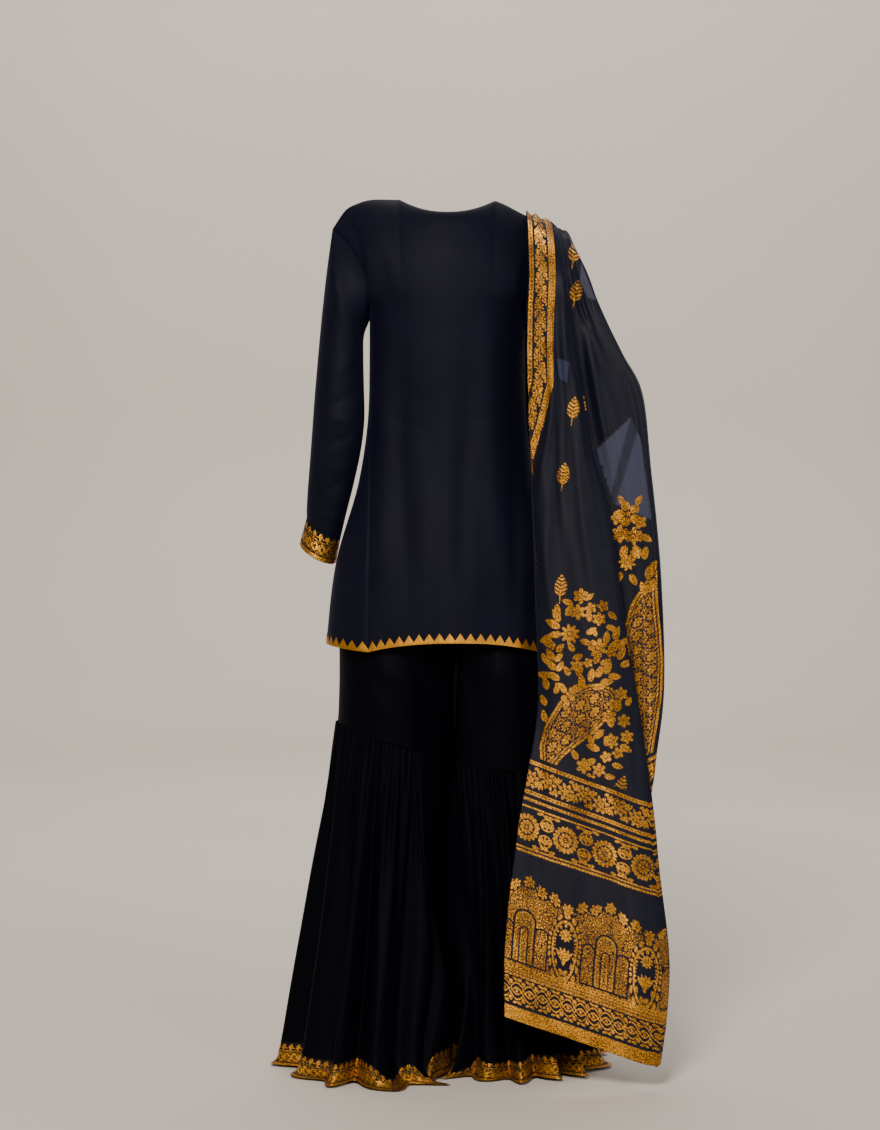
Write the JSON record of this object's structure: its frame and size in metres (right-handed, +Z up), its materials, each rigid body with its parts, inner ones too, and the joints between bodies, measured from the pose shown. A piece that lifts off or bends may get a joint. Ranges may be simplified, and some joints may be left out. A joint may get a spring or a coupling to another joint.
{
  "type": "three-piece suit: long tunic, gathered wide trousers and shoulder scarf",
  "caption": "Worn-form long tunic with set-in sleeves, wide trousers gathered at the thigh, and a long sheer scarf with a gold border over the right shoulder and arm.",
  "frame": {"origin": "the middle of the shoulders, on the centre line at mid shoulder height, where the wearer holds the suit up", "axes": "+Z up, -Y out of the back, +X towards the wearer's right side"},
  "size_m": [0.6683, 0.4235, 1.4704],
  "materials": {
    "navy_silk_crepe": "matte silk crepe",
    "black_crushed_silk": "soft silk with a low sheen",
    "navy_silk_organza": "sheer crisp silk",
    "gold_zari_weave": "woven gold metal thread on dark silk"
  },
  "bodies": {
    "root": {"kurta_back": "navy_silk_crepe", "kurta_front": "navy_silk_crepe", "kurta_sleeve_left": "navy_silk_crepe", "kurta_sleeve_right": "navy_silk_crepe", "kurta_cuff_left": "gold_zari_weave", "kurta_cuff_right": "gold_zari_weave", "kurta_hem_trim_back": "gold_zari_weave", "kurta_hem_trim_front": "gold_zari_weave", "gharara_waistband": "black_crushed_silk", "gharara_thigh_left": "black_crushed_silk", "gharara_thigh_right": "black_crushed_silk", "gharara_flare_left": "black_crushed_silk", "gharara_flare_right": "black_crushed_silk", "gharara_hem_border_left": "gold_zari_weave", "gharara_hem_border_right": "gold_zari_weave", "dupatta_back_fall": "navy_silk_organza", "dupatta_front_fall": "navy_silk_organza"}
  },
  "joints": []
}
